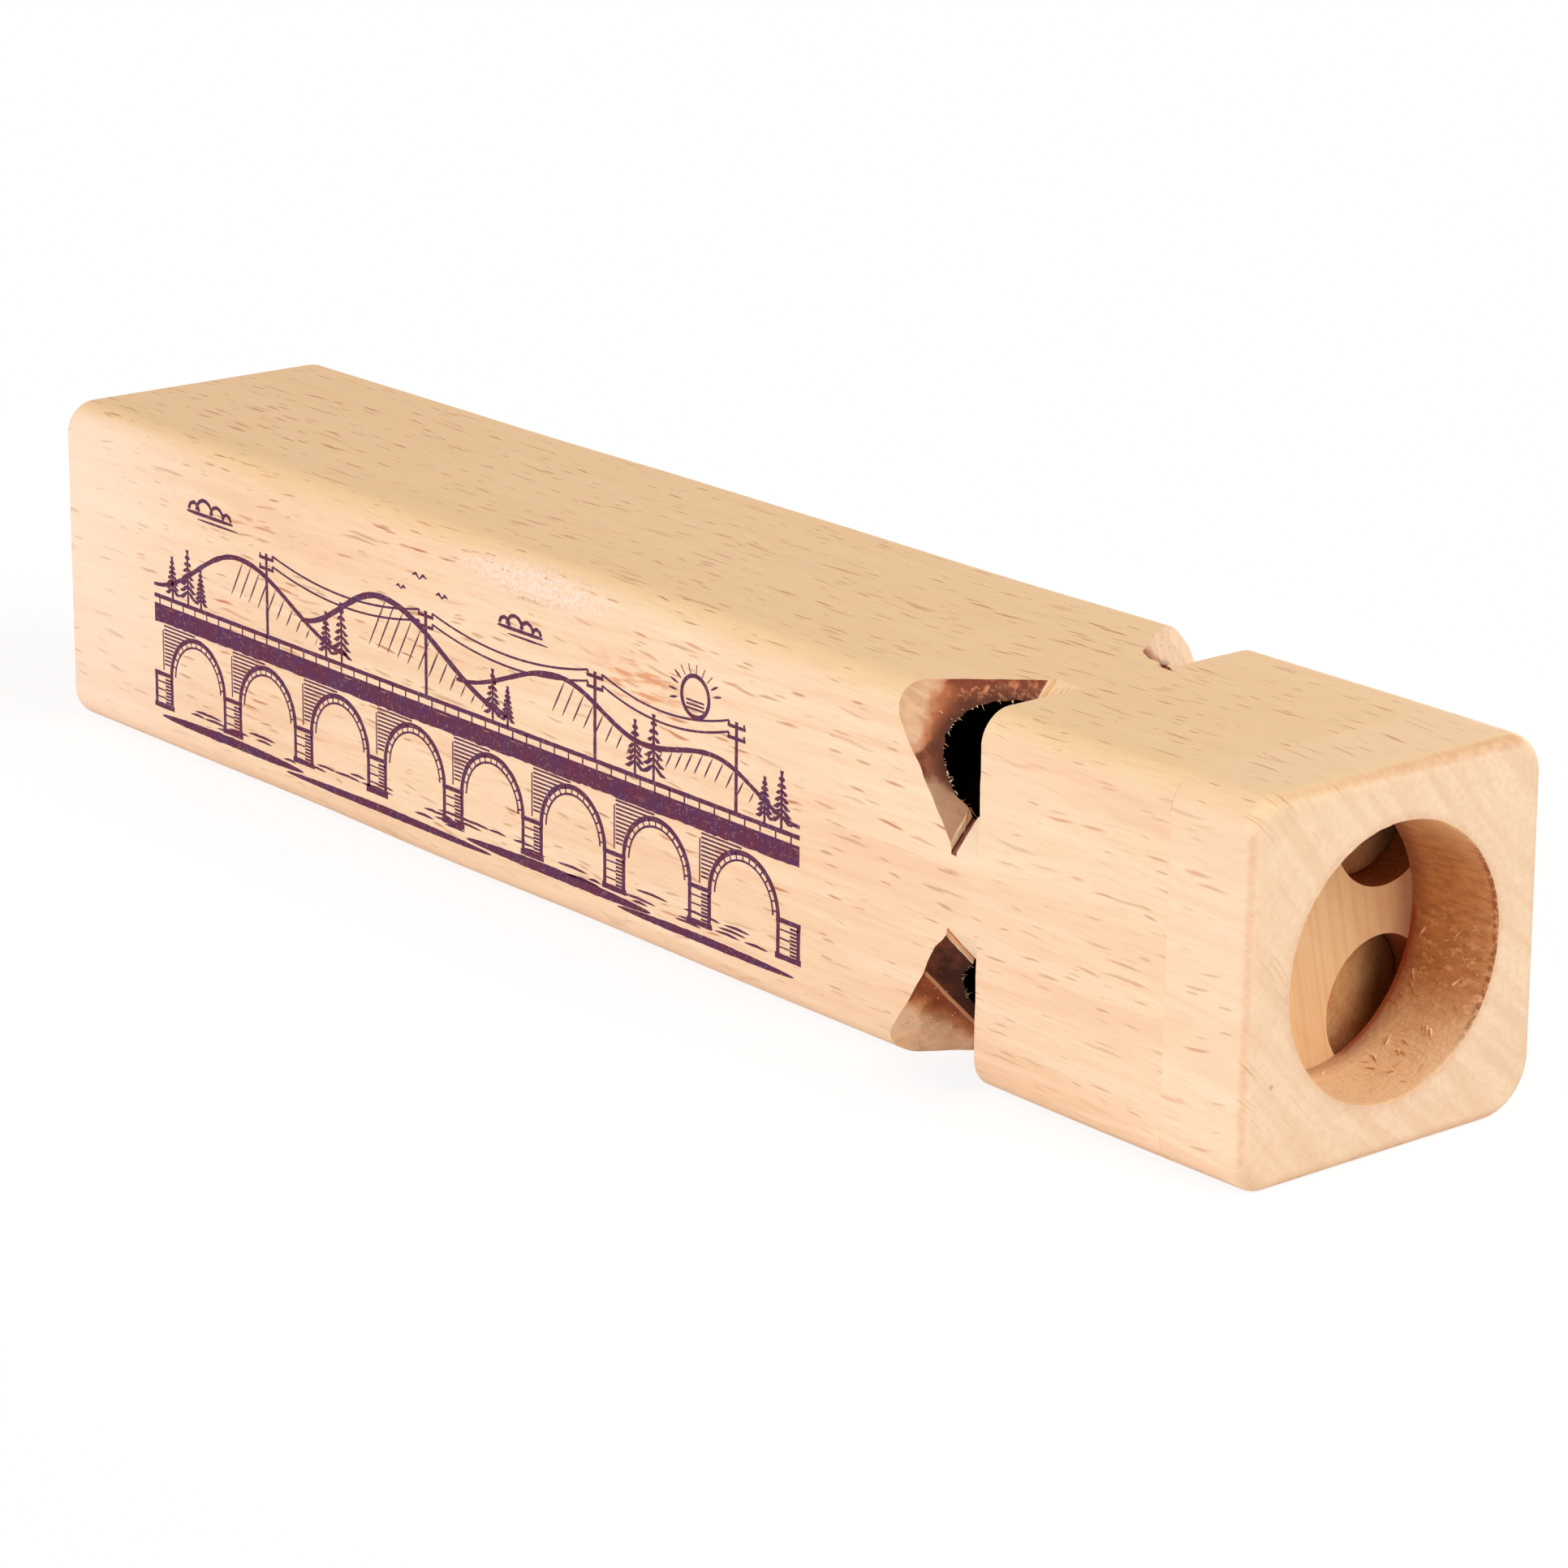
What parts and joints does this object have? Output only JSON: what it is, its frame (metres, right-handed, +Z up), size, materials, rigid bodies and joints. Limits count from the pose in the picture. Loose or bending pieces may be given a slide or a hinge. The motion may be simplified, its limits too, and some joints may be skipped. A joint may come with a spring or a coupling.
{
  "type": "train whistle",
  "caption": "Square beech whistle stick with pipe bores beside its long edges, corner notches, windway plugs and a mouthpiece cap; blown from one end to sound a chord.",
  "frame": {"origin": "centre of the whistle's bottom face", "axes": "+X along the whistle towards the mouth end, +Y away from the printed front face, +Z up"},
  "size_m": [0.18, 0.035, 0.035],
  "materials": {
    "beech_body": "pale flat-sawn beech along the length, sanded and left bare, with short brown ray flecks; burnt brown inside the notches",
    "beech_cap": "pale beech, sanded and left bare, end grain on the mouth face and an orange tan drilled hole",
    "beech_plug": "beech dowel, sawn end grain, darker from glue and handling",
    "print_ink": "dark plum line print, slightly worn, soaked into the wood"
  },
  "bodies": {
    "root": {"whistle_body": "beech_body", "mouthpiece_cap": "beech_cap", "fipple_plug_front_top": "beech_plug", "fipple_plug_back_top": "beech_plug", "fipple_plug_front_bottom": "beech_plug", "fipple_plug_back_bottom": "beech_plug"}
  },
  "joints": []
}
